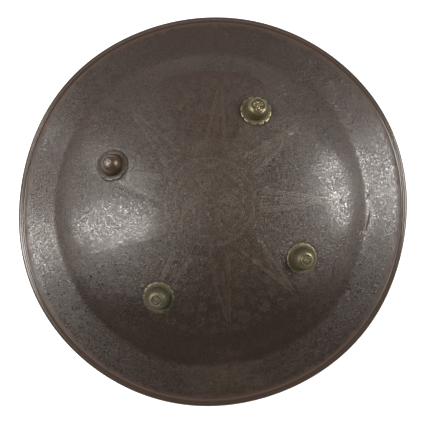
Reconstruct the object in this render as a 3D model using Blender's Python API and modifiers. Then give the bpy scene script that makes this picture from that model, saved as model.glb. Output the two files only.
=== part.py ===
"""Dhal: a round Indian shield of engraved sheet iron with four bosses, lying face up on its rim.

Units are metres and +Z is up. The origin is on the ground, under the middle of the outline.
The shield was raised by hand, so its outline is a little oval and its dome sits a little off
the middle. Each boss stands square to the dome, and its shank is clenched over on the inside.
"""

import math

import bmesh
import bpy
from mathutils import Matrix, Vector

# ---------------------------------------------------------------- driving dimensions
OUTER_DIAMETER = 0.480
TOTAL_HEIGHT = 0.0693
SHEET = 0.0018
AROUND = 54                                # facets round the shield

# Dome, shoulder and brim, by radius from the dome's own middle
DOME_SPHERE = 0.398                        # radius of curvature of the outer face
DOME_EDGE = 0.169
SHOULDER_RADIUS = 0.1875
SHOULDER_DROP = 0.0014                     # how far the shoulder falls away from the sphere
BRIM_START = 0.190
BRIM_DROP = 0.0013                         # how far the brim starts below the shoulder
BRIM_END = 0.2312
BRIM_SLOPE_IN = math.radians(21.0)
BRIM_SLOPE_OUT = math.radians(18.5)

# Rolled rim: a bead beside the brim's end, and the lip rolled round outside it
BEAD_RADIUS = 0.0023
BEAD_CENTRE = 0.2343                       # radius of the circle that the bead follows
BEAD_HEIGHT = 0.0057
LIP_HEIGHT = 0.0047
LIP_WIDTH = 0.0036
RIM_SEAM = 0.0006                          # depth of the seam between bead and lip
FOOT_INNER = 0.2325                        # inner radius of the flat ring it rests on

# Hand work: the dome's shift and the slow ovals of the outline (waves, share, direction)
DOME_SHIFT = (-0.0033, 0.0015)
OVALS = (
    (2, 0.0080, math.radians(54.0)),
    (3, 0.0021, math.radians(11.5)),
    (4, 0.0033, math.radians(40.0)),
    (6, 0.0024, math.radians(21.5)),
)

# Engraved sunburst: two rings round the medallion, nine rays laid out by eye, and a ring outside
GRAVER_WIDTH = 0.0013
GRAVER_DEPTH = 0.0004
MEDALLION_INNER = 0.0409
MEDALLION_OUTER = 0.0540
FIELD_RING = 0.1580
RAY_DIRECTIONS = (2.0, 42.0, 85.0, 130.0, 170.0, 202.0, 242.0, 279.0, 313.5)
RAY_BASE_WIDTH = 0.031
RAY_TIP = 0.1550

# Bosses: distance and direction from the dome's middle, button radius, height and metal
BOSSES = {
    "boss_upper_left": (0.1250, math.radians(158.6), 0.0050, 0.0185, "copper"),
    "boss_upper_right": (0.1247, math.radians(63.6), 0.0090, 0.0165, "brass"),
    "boss_lower_right": (0.1280, math.radians(-31.0), 0.0068, 0.0185, "brass"),
    "boss_lower_left": (0.1273, math.radians(241.6), 0.0068, 0.0170, "brass"),
}
FLANGE_RADIUS = 0.0190
FLANGE_EDGE = 0.0011
LOBES = 12
LOBE_DEPTH = 0.0014
FACETS_PER_LOBE = 3
BODY_RADIUS = 0.0135
SHANK_RADIUS = 0.0030
CLENCH_RADIUS = 0.0052
CLENCH_HEIGHT = 0.0018
FIT_GAP = 0.0003                           # clearance between touching solids
HOLE_RADIUS = SHANK_RADIUS + FIT_GAP

OUTER_RADIUS = OUTER_DIAMETER / 2
SPHERE_CENTRE_Z = TOTAL_HEIGHT - DOME_SPHERE
MERGE = 0.00001


# ---------------------------------------------------------------- scene helpers
def clear_scene():
    """Take every object out of the file."""
    for item in list(bpy.data.objects):
        bpy.data.objects.remove(item, do_unlink=True)


def new_collection(name):
    """Make a collection and link it to the scene."""
    collection = bpy.data.collections.new(name)
    bpy.context.scene.collection.children.link(collection)
    return collection


def principled(name, colour, roughness, metallic):
    """Make a plain Principled material."""
    material = bpy.data.materials.new(name)
    material.use_nodes = True
    shader = material.node_tree.nodes["Principled BSDF"]
    shader.inputs["Base Color"].default_value = (*colour, 1.0)
    shader.inputs["Roughness"].default_value = roughness
    shader.inputs["Metallic"].default_value = metallic
    return material


def evaluated_mesh(item):
    """Return the item's mesh with its modifiers applied, and remove the item."""
    bpy.context.view_layer.update()
    graph = bpy.context.evaluated_depsgraph_get()
    mesh = bpy.data.meshes.new_from_object(item.evaluated_get(graph))
    bpy.data.objects.remove(item, do_unlink=True)
    return mesh


def turned_mesh(name, profile, steps):
    """Turn a profile of (radius, height) points about Z into a closed mesh."""
    outline = bmesh.new()
    corners = [outline.verts.new((radius, 0.0, height)) for radius, height in profile]
    for first, second in zip(corners, corners[1:]):
        outline.edges.new((first, second))
    mesh = bpy.data.meshes.new(name + "_profile")
    outline.to_mesh(mesh)
    outline.free()
    item = bpy.data.objects.new(name + "_profile", mesh)
    bpy.context.scene.collection.objects.link(item)
    screw = item.modifiers.new("turn", "SCREW")
    screw.axis = "Z"
    screw.steps = steps
    screw.render_steps = steps
    screw.use_merge_vertices = True
    screw.merge_threshold = MERGE
    turned = evaluated_mesh(item)
    turned.name = name
    return turned


def add_part(collection, name, mesh, material):
    """Put a finished mesh in the scene as a named part."""
    mesh.materials.clear()
    mesh.materials.append(material)
    part = bpy.data.objects.new(name, mesh)
    collection.objects.link(part)
    return part


def add_cutter(collection, name, mesh):
    """Put a cutting body in the cutters' collection."""
    cutter = bpy.data.objects.new(name, mesh)
    cutter.hide_render = True
    cutter.display_type = "WIRE"
    collection.objects.link(cutter)
    return cutter


def shade_round(part, sharp_degrees):
    """Shade smooth, with edges above the given angle kept sharp."""
    part.data.shade_smooth()
    part.data.set_sharp_from_angle(angle=math.radians(sharp_degrees))


# ---------------------------------------------------------------- the shield's surface
def dome_height(radius):
    """Height of the outer face on the dome and its shoulder, which rolls off the sphere."""
    past_edge = max(0.0, (radius - DOME_EDGE) / (SHOULDER_RADIUS - DOME_EDGE))
    sphere = SPHERE_CENTRE_Z + math.sqrt(DOME_SPHERE ** 2 - radius ** 2)
    return sphere - SHOULDER_DROP * past_edge ** 2


def brim_height(radius):
    """Height of the brim's outer face: it flattens slowly towards the rim."""
    start = dome_height(SHOULDER_RADIUS) - BRIM_DROP
    steep = math.tan(BRIM_SLOPE_IN)
    flat = math.tan(BRIM_SLOPE_OUT)
    run = radius - BRIM_START
    return start - steep * run + (steep - flat) * run ** 2 / (2 * (BRIM_END - BRIM_START))


def inner_point(radius, outer_height):
    """A point of the inside face, one sheet thickness below the outer face along its slope."""
    reach = 0.0005
    slope = (outer_height(radius + reach) - outer_height(radius - reach)) / (2 * reach)
    return radius, outer_height(radius) - SHEET * math.hypot(1.0, slope)


def eased(value):
    """Smooth step from 0 to 1."""
    value = min(max(value, 0.0), 1.0)
    return value * value * (3 - 2 * value)


def out_of_true(point):
    """Move a point of the turned shield to where the hand-raised one has it."""
    radius = math.hypot(point.x, point.y)
    direction = math.atan2(point.y, point.x)
    brim_share = eased((radius - DOME_EDGE) / (BRIM_END - DOME_EDGE))
    swell = sum(share * math.cos(waves * (direction - axis)) for waves, share, axis in OVALS)
    stretch = 1 + swell * brim_share
    shift = 1 - brim_share
    return Vector((
        point.x * stretch + DOME_SHIFT[0] * shift,
        point.y * stretch + DOME_SHIFT[1] * shift,
        point.z,
    ))


def graver_notch(radius):
    """Three profile points of a V-shaped line cut round the dome."""
    half = GRAVER_WIDTH / 2
    return [
        (radius - half, dome_height(radius - half)),
        (radius, dome_height(radius) - GRAVER_DEPTH),
        (radius + half, dome_height(radius + half)),
    ]


def bead_arc():
    """Points over the top of the rolled bead, from the brim outwards."""
    angles = [math.radians(degrees) for degrees in (165, 115, 75, 30)]
    middle = BEAD_HEIGHT - BEAD_RADIUS
    return [
        (BEAD_CENTRE + BEAD_RADIUS * math.cos(a), middle + BEAD_RADIUS * math.sin(a))
        for a in angles
    ]


def shield_profile():
    """The shield's section, from the crown down its outside and back up its inside."""
    outside = [(0.0, TOTAL_HEIGHT), (0.022, dome_height(0.022))]
    outside += graver_notch(MEDALLION_INNER)
    outside += graver_notch(MEDALLION_OUTER)
    outside += [(radius, dome_height(radius)) for radius in (0.080, 0.105, 0.130)]
    outside += graver_notch(FIELD_RING)
    outside += [(radius, dome_height(radius)) for radius in (DOME_EDGE, 0.179, SHOULDER_RADIUS)]
    outside += [(radius, brim_height(radius)) for radius in (BRIM_START, 0.208, BRIM_END)]
    lip_start = OUTER_RADIUS - LIP_WIDTH
    rim = bead_arc()
    rim += [
        (lip_start, LIP_HEIGHT - RIM_SEAM),
        (lip_start + LIP_WIDTH * 0.4, LIP_HEIGHT),
        (OUTER_RADIUS, LIP_HEIGHT * 0.75),
        (OUTER_RADIUS, LIP_HEIGHT * 0.2),
        (OUTER_RADIUS - LIP_WIDTH * 0.4, 0.0),
        (FOOT_INNER, 0.0),
        (FOOT_INNER - LIP_HEIGHT * 0.2, LIP_HEIGHT * 0.35),
    ]
    inside = [inner_point(radius, brim_height) for radius in (0.2290, 0.1895)]
    inner_rings = (0.1855, 0.176, 0.163, 0.134, 0.119, 0.080)
    inside += [inner_point(radius, dome_height) for radius in inner_rings]
    inside.append((0.0, TOTAL_HEIGHT - SHEET))
    return outside + rim + inside


def surface_frame(radius, direction):
    """Matrix that stands an upright piece square to the dome at a place on it."""
    lean = math.asin(radius / DOME_SPHERE)
    foot = Vector((
        DOME_SHIFT[0] + radius * math.cos(direction),
        DOME_SHIFT[1] + radius * math.sin(direction),
        dome_height(radius),
    ))
    turn = Matrix.Rotation(direction, 4, "Z") @ Matrix.Rotation(lean, 4, "Y")
    return Matrix.Translation(foot) @ turn


# ---------------------------------------------------------------- cutters
def shank_hole(cutters, name, place):
    """Cylinder that bores one shank hole square to the dome."""
    hole = bmesh.new()
    bmesh.ops.create_cone(
        hole, cap_ends=True, segments=16,
        radius1=HOLE_RADIUS, radius2=HOLE_RADIUS, depth=SHEET * 8,
    )
    bmesh.ops.transform(hole, matrix=place, verts=hole.verts)
    mesh = bpy.data.meshes.new(name)
    hole.to_mesh(mesh)
    hole.free()
    return add_cutter(cutters, name, mesh)


def ray_edges():
    """Start and end, in plan, of the two engraved edges of every ray."""
    edges = []
    for degrees in RAY_DIRECTIONS:
        direction = math.radians(degrees)
        along = Vector((math.cos(direction), math.sin(direction)))
        across = Vector((-along.y, along.x))
        for side in (-1, 1):
            start = along * (MEDALLION_OUTER + GRAVER_WIDTH) + across * side * RAY_BASE_WIDTH / 2
            tip = along * RAY_TIP + across * side * GRAVER_WIDTH * 0.8
            edges.append((start, tip))
    return edges


def ray_cutter(cutters, name, start, tip):
    """Thin rod that lies along the dome and cuts one engraved line."""
    curve = bpy.data.curves.new(name, "CURVE")
    curve.dimensions = "3D"
    curve.bevel_depth = GRAVER_WIDTH / 2
    curve.bevel_resolution = 0
    curve.use_fill_caps = True
    spline = curve.splines.new("POLY")
    stops = 5
    spline.points.add(stops - 1)
    for index, point in enumerate(spline.points):
        place = start.lerp(tip, index / (stops - 1))
        lift = dome_height(place.length) + GRAVER_WIDTH / 2 - GRAVER_DEPTH
        point.co = (place.x + DOME_SHIFT[0], place.y + DOME_SHIFT[1], lift, 1.0)
    item = bpy.data.objects.new(name, curve)
    cutters.objects.link(item)
    mesh = evaluated_mesh(item)
    solid = bmesh.new()
    solid.from_mesh(mesh)
    bmesh.ops.remove_doubles(solid, verts=solid.verts, dist=MERGE)
    bmesh.ops.recalc_face_normals(solid, faces=solid.faces)
    solid.to_mesh(mesh)
    solid.free()
    return add_cutter(cutters, name, mesh)


def cut(part, cutter):
    """Take the cutter's volume out of the part."""
    boolean = part.modifiers.new(cutter.name, "BOOLEAN")
    boolean.operation = "DIFFERENCE"
    boolean.solver = "EXACT"
    boolean.object = cutter


# ---------------------------------------------------------------- the pieces
def make_shield(parts, cutters, iron):
    """The body: one sheet with its rolled rim, bored for the shanks and engraved."""
    mesh = turned_mesh("shield_body", shield_profile(), AROUND)
    for corner in mesh.vertices:
        corner.co = out_of_true(corner.co)
    body = add_part(parts, "shield_body", mesh, iron)
    for name, (distance, direction, _, _, _) in BOSSES.items():
        place = surface_frame(distance, direction)
        cut(body, shank_hole(cutters, "hole_" + name, place))
    for number, (start, tip) in enumerate(ray_edges()):
        cut(body, ray_cutter(cutters, f"ray_line_{number}", start, tip))
    shade_round(body, 35)
    return body


def boss_profile(button_radius, height):
    """A boss's section, from the top of its button down to the end of its clenched shank."""
    neck_radius = button_radius + 0.0009
    neck_height = height - 0.0026
    foot_height = 0.0034
    button = [
        (0.0, height - 0.0003),
        (button_radius - 0.0014, height - 0.0003),
        (button_radius - 0.0008, height),
        (button_radius, height - 0.0007),
        (button_radius, neck_height + 0.0006),
    ]
    bell = []
    for share in (0.0, 0.36, 0.70, 1.0):
        angle = share * math.pi / 2
        bell.append((
            neck_radius + (BODY_RADIUS - neck_radius) * math.sin(angle),
            foot_height + (neck_height - foot_height) * math.cos(angle),
        ))
    hug = FIT_GAP - FLANGE_RADIUS ** 2 / (2 * DOME_SPHERE)
    flange = [
        (BODY_RADIUS + 0.0004, 0.0016),
        (FLANGE_RADIUS - 0.0019, 0.0020),
        (FLANGE_RADIUS, hug + FLANGE_EDGE),
        (FLANGE_RADIUS, hug),
        (SHANK_RADIUS, FIT_GAP),
    ]
    back = -SHEET - FIT_GAP
    shank = [
        (SHANK_RADIUS, back),
        (CLENCH_RADIUS, back),
        (CLENCH_RADIUS * 0.8, back - CLENCH_HEIGHT * 0.75),
        (0.0, back - CLENCH_HEIGHT),
    ]
    return button + bell + flange + shank


def scallop(mesh):
    """Draw the flange's edge in between its lobes."""
    start = BODY_RADIUS + 0.001
    for corner in mesh.vertices:
        radius = math.hypot(corner.co.x, corner.co.y)
        if radius < start:
            continue
        direction = math.atan2(corner.co.y, corner.co.x)
        notch = abs(math.cos(direction * LOBES / 2)) ** 3
        share = (radius - start) / (FLANGE_RADIUS - start)
        factor = 1 - LOBE_DEPTH * notch * share ** 2 / FLANGE_RADIUS
        corner.co.x *= factor
        corner.co.y *= factor


def make_boss(parts, name, metals):
    """One boss with its shank, standing square to the dome."""
    distance, direction, button_radius, height, metal = BOSSES[name]
    mesh = turned_mesh(name, boss_profile(button_radius, height), LOBES * FACETS_PER_LOBE)
    scallop(mesh)
    boss = add_part(parts, name, mesh, metals[metal])
    boss.matrix_world = surface_frame(distance, direction)
    shade_round(boss, 35)
    return boss


def main():
    """Build the dhal."""
    clear_scene()
    parts = new_collection("dhal")
    cutters = new_collection("dhal_cutters")
    iron = principled("russet_iron", (0.075, 0.062, 0.054), 0.38, 0.55)
    metals = {
        "brass": principled("aged_brass", (0.34, 0.29, 0.13), 0.36, 0.9),
        "copper": principled("brown_copper", (0.20, 0.11, 0.06), 0.32, 0.85),
    }
    make_shield(parts, cutters, iron)
    for name in BOSSES:
        make_boss(parts, name, metals)


main()
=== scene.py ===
"""Looks of the dhal: its engraved, patinated shield and four bosses, with a floor, lights and camera.

The file is laid out as an add-on and run as a script. Units are metres, +Z is up, and every piece
is made in place in the frame of model.glb.
"""

import math
import random
from collections import namedtuple
import bmesh
import bpy
import numpy as np
from bpy.props import FloatProperty, FloatVectorProperty, IntProperty, PointerProperty
from mathutils import Matrix, Vector, geometry, kdtree, noise


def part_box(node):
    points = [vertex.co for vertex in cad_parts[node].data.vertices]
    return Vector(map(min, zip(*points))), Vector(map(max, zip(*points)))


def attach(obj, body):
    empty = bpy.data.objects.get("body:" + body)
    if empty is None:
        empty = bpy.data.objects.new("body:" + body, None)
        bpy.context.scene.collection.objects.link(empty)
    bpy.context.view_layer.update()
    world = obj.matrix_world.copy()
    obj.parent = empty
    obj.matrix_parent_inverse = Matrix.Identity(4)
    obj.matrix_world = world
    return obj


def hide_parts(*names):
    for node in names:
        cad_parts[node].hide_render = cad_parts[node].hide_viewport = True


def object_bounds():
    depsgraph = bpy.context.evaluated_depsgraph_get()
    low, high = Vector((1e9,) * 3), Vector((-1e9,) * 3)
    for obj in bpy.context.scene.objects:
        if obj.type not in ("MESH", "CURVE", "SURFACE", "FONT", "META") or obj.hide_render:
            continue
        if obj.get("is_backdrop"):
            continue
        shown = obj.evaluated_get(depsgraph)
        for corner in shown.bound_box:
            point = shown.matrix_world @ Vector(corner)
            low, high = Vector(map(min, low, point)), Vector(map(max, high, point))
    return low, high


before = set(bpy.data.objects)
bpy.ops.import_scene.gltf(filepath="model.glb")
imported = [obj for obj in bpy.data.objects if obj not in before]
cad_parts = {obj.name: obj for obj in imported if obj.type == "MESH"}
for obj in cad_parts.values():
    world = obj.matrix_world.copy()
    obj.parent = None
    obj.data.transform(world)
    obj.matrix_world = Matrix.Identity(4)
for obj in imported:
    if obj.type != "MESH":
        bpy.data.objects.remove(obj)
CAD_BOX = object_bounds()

bl_info = {
    "name": "Dhal looks",
    "version": (1, 0, 0),
    "blender": (4, 5, 0),
    "location": "3D View > Sidebar > Dhal",
    "description": "Engraved iron shield with four bosses, its floor, lights and camera",
    "category": "Object",
}

# ---------------------------------------------------------------- the shield's form, as in the solids
CROWN_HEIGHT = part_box("shield_body")[1].z
SHEET = 0.0018
OUTER_RADIUS = 0.240
DOME_SPHERE = 0.398
DOME_EDGE = 0.169
SHOULDER_RADIUS = 0.1875
SHOULDER_DROP = 0.0014
BRIM_START = 0.190
BRIM_DROP = 0.0013
BRIM_END = 0.2312
BRIM_SLOPE_IN = math.radians(21.0)
BRIM_SLOPE_OUT = math.radians(18.5)
BEAD_RADIUS = 0.0023
BEAD_CENTRE = 0.2343
BEAD_HEIGHT = 0.0057
LIP_HEIGHT = 0.0047
LIP_WIDTH = 0.0036
LIP_SEAM_DEPTH = 0.00015
FOOT_INNER = 0.2325
BACK_EDGE = 0.2290

# The dome's middle, which lies a little off the rim's, and the middle of its sphere
DOME_SHIFT = Vector((-0.0033, 0.0015))
SPHERE_CENTRE = Vector((DOME_SHIFT.x, DOME_SHIFT.y, CROWN_HEIGHT - DOME_SPHERE))

# Slow waves that take the outline out of round: how many go round, how high they are as a share
# of the radius, and the direction of one crest
OVALS = (
    (2, 0.0080, math.radians(54.0)),
    (3, 0.0021, math.radians(11.5)),
    (4, 0.0033, math.radians(40.0)),
    (6, 0.0024, math.radians(21.5)),
)
# Radii of the mesh's rings over the crease between dome and brim
CREASE_RINGS = (0.1797, 0.1816, 0.1833, 0.1849, 0.1863, 0.1875, 0.1887, 0.1901, 0.1917, 0.1935, 0.1954)

# ---------------------------------------------------------------- the shield's pattern
MEDALLION_INNER = 0.0409
MEDALLION_OUTER = 0.0540
FIELD_RING = 0.1580
SCROLLS_FROM = 0.1945
SCROLLS_TO = 0.2235
RAY_BASE_WIDTH = 0.031
RAY_TIP = 0.1550
# Each ray: its direction in degrees and how strongly it is cut
RAY_STRENGTHS = {2: 2.6, 42: 1.5, 85: 0.5, 130: 0.7, 164: 1.3, 202: 0.8, 242: 0.8, 279: 0.5, 313.5: 0.9}
RAYS = [math.radians(degrees) for degrees in RAY_STRENGTHS]
# How strongly each part is cut, as a share of a main line
MEDALLION_CUT = 0.65
FIELD_CUT = 0.55
BRIM_CUT = 0.45
FLOWER_CUT = 0.55
# Gap between a ray and the foliage, and how near to a boss the foliage starts and a stroke is
# hidden, as shares of its flange
RAY_MARGIN = 0.0010
FOLIAGE_UNDER_FLANGE = 0.86
HIDDEN_UNDER_FLANGE = 0.90
# The russet cloud as the dome's middle sees it: its direction, and how far it spreads each way
RUSSET_DIRECTION = math.radians(90.0)
RUSSET_SPREAD = math.radians(24.0)

# ---------------------------------------------------------------- the bosses
FLANGE_RADIUS = 0.0190
BODY_RADIUS = 0.0135
SHANK_RADIUS = 0.0030
FIT_GAP = 0.0003
HOLE_RADIUS = SHANK_RADIUS + FIT_GAP
# Below this height a boss is flange, and above it bell
BELL_FOOT = 0.0030

# A boss's last value darkens it as a whole: painted shade, most on the lower bosses
Boss = namedtuple("Boss", "button_radius height metal lobes notch_depth grime")
BOSSES = {
    "boss_upper_left": Boss(0.0050, 0.0185, "brown_copper", 9, 0.0009, 0.15),
    "boss_upper_right": Boss(0.0090, 0.0165, "aged_brass", 12, 0.0018, 0.0),
    "boss_lower_right": Boss(0.0068, 0.0185, "aged_brass", 13, 0.0007, 0.32),
    "boss_lower_left": Boss(0.0068, 0.0170, "aged_brass", 14, 0.0009, 0.50),
}


# ---------------------------------------------------------------- settings
def count_setting(name, description, default, low):
    """A whole number that a user may change."""
    return IntProperty(name=name, description=description, default=default, min=low)


def length_setting(name, description, default):
    """A length that a user may change."""
    return FloatProperty(name=name, description=description, default=default, unit="LENGTH")


def power_setting(name, description, default):
    """A light's power that a user may change."""
    return FloatProperty(name=name, description=description, default=default, subtype="POWER")


def colour_setting(name, description, default):
    """A colour that a user may change."""
    return FloatVectorProperty(
        name=name, description=description, default=default, size=3, subtype="COLOR")


class DhalShieldSettings(bpy.types.PropertyGroup):
    """Sizes of the shield's surface."""

    facets_round: count_setting("Facets round", "Facets round the rolled rim", 270, 60)
    plain_spacing: length_setting("Plain spacing", "Mesh size where nothing is engraved", 0.0050)
    hand_waves: length_setting(
        "Hammer waves", "Height of the unevenness left by the hammer", 0.00022)
    wave_scale: FloatProperty(
        name="Wave scale", description="Hammer waves per metre", default=24.0)


class DhalEngravingSettings(bpy.types.PropertyGroup):
    """What the graver cut."""

    line_width: length_setting("Line width", "Width of a main line", 0.0010)
    line_depth: length_setting("Line depth", "Depth of a main line", 0.00005)
    petal_count: count_setting("Petals", "Petals of the middle rosette", 8, 3)
    hatch_count: count_setting("Ray hatches", "Hatching lines along a ray", 5, 1)
    largest_motif: length_setting(
        "Largest motif", "Radius of the largest flower or palmette", 0.0098)
    smallest_motif: length_setting("Smallest motif", "Radius of the smallest filling leaf", 0.0021)
    brim_motif: length_setting("Brim motif", "Radius of the scrolls on the brim", 0.0070)
    throws: count_setting("Throws", "Tries at placing a motif", 20000, 100)
    seed: IntProperty(name="Seed", description="Seed of the foliage", default=11)


class DhalBossSettings(bpy.types.PropertyGroup):
    """Sizes of the bosses."""

    grooves: count_setting("Grooves", "Fine lines down a boss's side", 40, 4)
    steps_round: count_setting("Steps round", "Facets round a boss", 192, 24)
    steps_along: count_setting("Steps along", "Facets from button to shank end", 200, 24)
    seed: IntProperty(name="Seed", description="Seed of the uneven notches", default=5)


class DhalFinishSettings(bpy.types.PropertyGroup):
    """Colours of the metals and the floor."""

    iron_dark: colour_setting("Iron, dark", "Deep brown patina", (0.0225, 0.0138, 0.0092))
    iron_light: colour_setting("Iron, light", "Thin grey-brown patina", (0.0430, 0.0285, 0.0200))
    iron_russet: colour_setting(
        "Iron, russet", "Reddish clouds of the patina", (0.0255, 0.0102, 0.0048))
    iron_cut: colour_setting("Iron, cut", "Metal in the graver's lines", (0.105, 0.092, 0.073))
    iron_bare: colour_setting(
        "Iron, bare", "Metal where the patina has chipped off", (0.36, 0.33, 0.29))
    rust: colour_setting("Rust", "Red rust in the rim's seam", (0.052, 0.025, 0.017))
    brass: colour_setting("Brass", "Olive aged brass", (0.200, 0.175, 0.098))
    # The dirt colours also paint the shade on the bells and over the darker bosses
    brass_dirt_and_shade: colour_setting(
        "Brass, dirt", "Dark dirt in the hollows of the brass", (0.018, 0.015, 0.007))
    copper: colour_setting("Copper", "Dark brown copper-coloured boss", (0.080, 0.049, 0.029))
    copper_dirt_and_shade: colour_setting(
        "Copper, dirt", "Dark dirt in the hollows of the copper", (0.012, 0.008, 0.006))
    copper_flange: colour_setting(
        "Copper, flange", "Grey-brown flange of the copper-coloured boss", (0.042, 0.032, 0.022))
    floor: colour_setting("Floor", "Plain pale floor", (0.90, 0.90, 0.90))


class DhalStudioSettings(bpy.types.PropertyGroup):
    """Camera and lights."""

    distance: length_setting("Camera distance", "From the shield's middle to the camera", 1.8)
    elevation: FloatProperty(
        name="Camera elevation", description="Height of the view above the horizon",
        default=math.radians(84.0), subtype="ANGLE")
    focal: FloatProperty(
        name="Focal length", description="Lens, in millimetres", default=122.1, unit="CAMERA")
    left_power: power_setting("Left light", "Power of the main light, on the left", 24.0)
    fill_power: power_setting("Fill light", "Power of the weaker light beyond the main one", 5.0)
    right_power: power_setting("Right light", "Power of the low light on the right", 21.5)
    top_power: power_setting("Top light", "Power of the light beyond the shield's top", 2.6)
    ambient: FloatProperty(
        name="Ambient", description="Strength of the even light from all round", default=0.12)
    floor_glow: FloatProperty(
        name="Floor glow", description="Light the floor sends back from below", default=0.75)


# Where the lights point, how far off they stand, and their colour
LIT_PLACE = Vector((0.0, 0.0, 0.03))
LIGHT_DISTANCE = 1.6
LIGHT_COLOUR = (1.0, 0.960, 0.915)
# Each soft box: its direction and rise in degrees as the shield sees it, its width and its height
SOFT_BOXES = {
    "left_power": (183.0, 49.0, 0.46, 0.96),
    "fill_power": (151.0, 46.0, 0.30, 0.90),
    "right_power": (13.0, 35.0, 0.78, 0.27),
    "top_power": (93.0, 36.0, 1.90, 1.10),
}
# The camera's sensor in millimetres, and the shift that frames the shield
SENSOR_WIDTH = 36.0
LENS_SHIFT = (0.0079, -0.0084)
# From the floor's middle to its edges
FLOOR_REACH = 4.0
WHITE = (1.0, 1.0, 1.0, 1.0)

SETTINGS = {
    "dhal_shield": DhalShieldSettings,
    "dhal_engraving": DhalEngravingSettings,
    "dhal_bosses": DhalBossSettings,
    "dhal_finish": DhalFinishSettings,
    "dhal_studio": DhalStudioSettings,
}


# ---------------------------------------------------------------- node trees
# Places of sockets that share a name with others on their node: on a Mix node of colours its
# share, first, second and result, on a Random Value node its least, most and result
MIX_SHARE, MIX_FIRST, MIX_SECOND, MIX_RESULT = 0, 6, 7, 2
RANDOM_LEAST, RANDOM_MOST, RANDOM_RESULT = 2, 3, 1


class Flow:
    """A value in a node tree that takes part in sums: each operator adds a Math node."""

    def __init__(self, bench, socket):
        self.bench = bench
        self.socket = socket

    def math(self, operation, *others):
        """A Math node on this value and the others."""
        return self.bench.math(operation, self, *others)

    def __add__(self, other):
        return self.math("ADD", other)

    def __radd__(self, other):
        return self.bench.math("ADD", other, self)

    def __sub__(self, other):
        return self.math("SUBTRACT", other)

    def __rsub__(self, other):
        return self.bench.math("SUBTRACT", other, self)

    def __mul__(self, other):
        return self.math("MULTIPLY", other)

    def __rmul__(self, other):
        return self.bench.math("MULTIPLY", other, self)

    def __truediv__(self, other):
        return self.math("DIVIDE", other)

    def __rtruediv__(self, other):
        return self.bench.math("DIVIDE", other, self)


class Bench:
    """A node tree with short ways to add to it."""

    def __init__(self, tree):
        self.tree = tree

    def node(self, kind, settings=None, inputs=None):
        """Add a node: its settings are set first, then its sockets' values and links."""
        node = self.tree.nodes.new(kind)
        for key, value in (settings or {}).items():
            setattr(node, key, value)
        for key, value in (inputs or {}).items():
            self.connect(value, node.inputs[key])
        return node

    def connect(self, value, socket):
        """Link a value to a socket, or set the socket's own value."""
        if isinstance(value, Flow):
            value = value.socket
        if isinstance(value, bpy.types.NodeSocket):
            self.tree.links.new(value, socket)
        else:
            socket.default_value = value

    def math(self, operation, *values):
        """A Math node's result."""
        node = self.node("ShaderNodeMath", {"operation": operation}, dict(enumerate(values)))
        return Flow(self, node.outputs[0])


class Finish(Bench):
    """One material's node tree."""

    def __init__(self, name):
        self.material = bpy.data.materials.new(name)
        self.material.use_nodes = True
        super().__init__(self.material.node_tree)
        self.shader = self.tree.nodes["Principled BSDF"]
        self.place = self.node("ShaderNodeTexCoord").outputs["Object"]

    def noise(self, scale, detail, roughness, distortion=0.0):
        """Noise on the piece's own coordinates, about 0 to 1."""
        node = self.node("ShaderNodeTexNoise", None, {
            "Vector": self.place, "Scale": scale, "Detail": detail,
            "Roughness": roughness, "Distortion": distortion,
        })
        return Flow(self, node.outputs["Fac"])

    def step(self, value, low, high):
        """Smooth step of a value between two limits."""
        node = self.node(
            "ShaderNodeMapRange", {"interpolation_type": "SMOOTHSTEP"},
            {"Value": value, "From Min": low, "From Max": high},
        )
        return Flow(self, node.outputs["Result"])

    def painted(self, name):
        """A value kept on the mesh's points."""
        node = self.node("ShaderNodeAttribute", {"attribute_name": name})
        return Flow(self, node.outputs["Fac"])

    def mix(self, share, first, second):
        """Mix of two colours."""
        node = self.node("ShaderNodeMix", {"data_type": "RGBA"}, {
            MIX_SHARE: share, MIX_FIRST: first, MIX_SECOND: second,
        })
        return node.outputs[MIX_RESULT]

    def bump(self, height, distance, normal=None):
        """A Bump node, for heights given as a share of the distance."""
        inputs = {"Height": height, "Distance": distance, "Strength": 1.0}
        if normal is not None:
            inputs["Normal"] = normal
        return self.node("ShaderNodeBump", None, inputs).outputs["Normal"]

    def done(self, **sockets):
        """Set or link the shader's sockets, named with _ for each space, and hand over."""
        for key, value in sockets.items():
            self.connect(value, self.shader.inputs[key.replace("_", " ")])
        return self.material


def rgba(colour, share=1.0):
    """A colour with full alpha, made darker or lighter by a share."""
    return (*(part * share for part in colour), 1.0)


# ---------------------------------------------------------------- materials
PATINA_IOR = 1.55


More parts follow.
